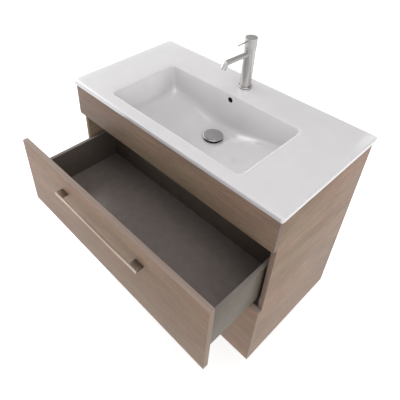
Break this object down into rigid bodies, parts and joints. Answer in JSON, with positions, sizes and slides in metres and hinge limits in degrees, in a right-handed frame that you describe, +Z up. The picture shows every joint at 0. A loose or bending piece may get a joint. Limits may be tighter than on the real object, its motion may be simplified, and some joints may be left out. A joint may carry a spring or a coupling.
{
  "type": "floating_vanity",
  "caption": "Wall-hung bathroom vanity with a ceramic basin top, two wide wood-look drawers with bar handles, a pin-lever mixer tap and a click drain",
  "frame": {"origin": "on the wall plane, at the middle of the cabinet, in the centre of the wall rail's four screw holes", "axes": "+X to the right seen from the front, +Y into the wall, +Z up"},
  "size_m": [0.86, 0.738, 0.871],
  "materials": {
    "wood_front": "matte, grain across the width",
    "wood_side": "matte, grain front to back",
    "ceramic": "gloss",
    "sealant": "matte",
    "tap_metal": "fine brushed",
    "chrome": "polished",
    "white_plastic": "matte",
    "black_rubber": "matte",
    "brass": "plain",
    "zinc_steel": "zinc plated",
    "drawer_side": "matte laminate",
    "drawer_floor": "matte laminate",
    "handle_satin": "satin",
    "handle_bronze": "dark satin"
  },
  "bodies": {
    "cabinet": {"side_panel_left": "wood_side", "side_panel_right": "wood_side", "bottom_panel": "wood_side", "front_apron": "wood_front", "rear_top_rail": "wood_side", "rear_bottom_rail": "wood_side", "apron_brackets": "zinc_steel", "cam_fittings": "zinc_steel", "hanger_left": "zinc_steel", "hanger_right": "zinc_steel", "wall_rail": "zinc_steel", "basin_slab": "ceramic", "basin_bowl": "ceramic", "basin_seal": "sealant", "drain_flange": "chrome", "drain_cartridge": "white_plastic", "drain_seals": "black_rubber", "drain_nut": "white_plastic", "waste_cup": "white_plastic", "trap_pipe": "white_plastic", "trap_bend": "white_plastic", "trap_outlet": "white_plastic", "slip_nuts": "white_plastic", "wall_rosette": "white_plastic", "tap_gasket": "black_rubber", "tap_base_ring": "tap_metal", "tap_body": "tap_metal", "tap_aerator": "chrome", "tap_cartridge": "white_plastic", "tap_stud": "brass", "tap_backplate": "zinc_steel", "tap_nut": "brass", "upper_rail_left": "zinc_steel", "upper_rail_right": "zinc_steel", "lower_rail_left": "zinc_steel", "lower_rail_right": "zinc_steel"},
    "upper_drawer": {"upper_front": "wood_front", "upper_side_left": "drawer_side", "upper_side_right": "drawer_side", "upper_back": "drawer_side", "upper_bottom": "drawer_floor", "upper_handle_bar": "handle_satin", "upper_handle_feet": "handle_bronze", "upper_handle_screws": "zinc_steel", "upper_drawer_rails": "zinc_steel"},
    "upper_slides": {"upper_middle_rails": "zinc_steel"},
    "lower_drawer": {"lower_front": "wood_front", "lower_side_left": "drawer_side", "lower_side_right": "drawer_side", "lower_back": "drawer_side", "lower_bottom": "drawer_floor", "lower_handle_bar": "handle_satin", "lower_handle_feet": "handle_bronze", "lower_handle_screws": "zinc_steel", "lower_drawer_rails": "zinc_steel"},
    "lower_slides": {"lower_middle_rails": "zinc_steel"},
    "tap_turn": {"tap_spindle": "brass"},
    "tap_handle": {"tap_cap": "tap_metal", "tap_lever": "tap_metal"},
    "drain_plug": {"drain_cap": "chrome"}
  },
  "joints": [
    {"name": "upper_drawer_slide", "type": "slide", "parent": "cabinet", "child": "upper_drawer", "axis": [0, -1, 0], "range_m": [-0.231, 0.099]},
    {"name": "upper_runner_slide", "type": "slide", "parent": "cabinet", "child": "upper_slides", "axis": [0, -1, 0], "range_m": [-0.1155, 0.0495]},
    {"name": "lower_drawer_slide", "type": "slide", "parent": "cabinet", "child": "lower_drawer", "axis": [0, -1, 0], "range_m": [0, 0.33]},
    {"name": "lower_runner_slide", "type": "slide", "parent": "cabinet", "child": "lower_slides", "axis": [0, -1, 0], "range_m": [0, 0.165]},
    {"name": "tap_swivel", "type": "hinge", "parent": "cabinet", "child": "tap_turn", "pos_m": [0, -0.063, 0.215], "axis": [0, 0, 1], "range_deg": [-45, 45]},
    {"name": "tap_lift", "type": "hinge", "parent": "tap_turn", "child": "tap_handle", "pos_m": [0, -0.063, 0.215], "axis": [-1, 0, 0], "range_deg": [0, 16]},
    {"name": "drain_push", "type": "slide", "parent": "cabinet", "child": "drain_plug", "axis": [0, 0, -1], "range_m": [0, 0.005], "stiffness_N_per_m": 1500, "springref_m": -0.002}
  ],
  "couplings": [
    {"joint": "upper_runner_slide", "follows": "upper_drawer_slide", "ratio": 0.5},
    {"joint": "lower_runner_slide", "follows": "lower_drawer_slide", "ratio": 0.5}
  ]
}
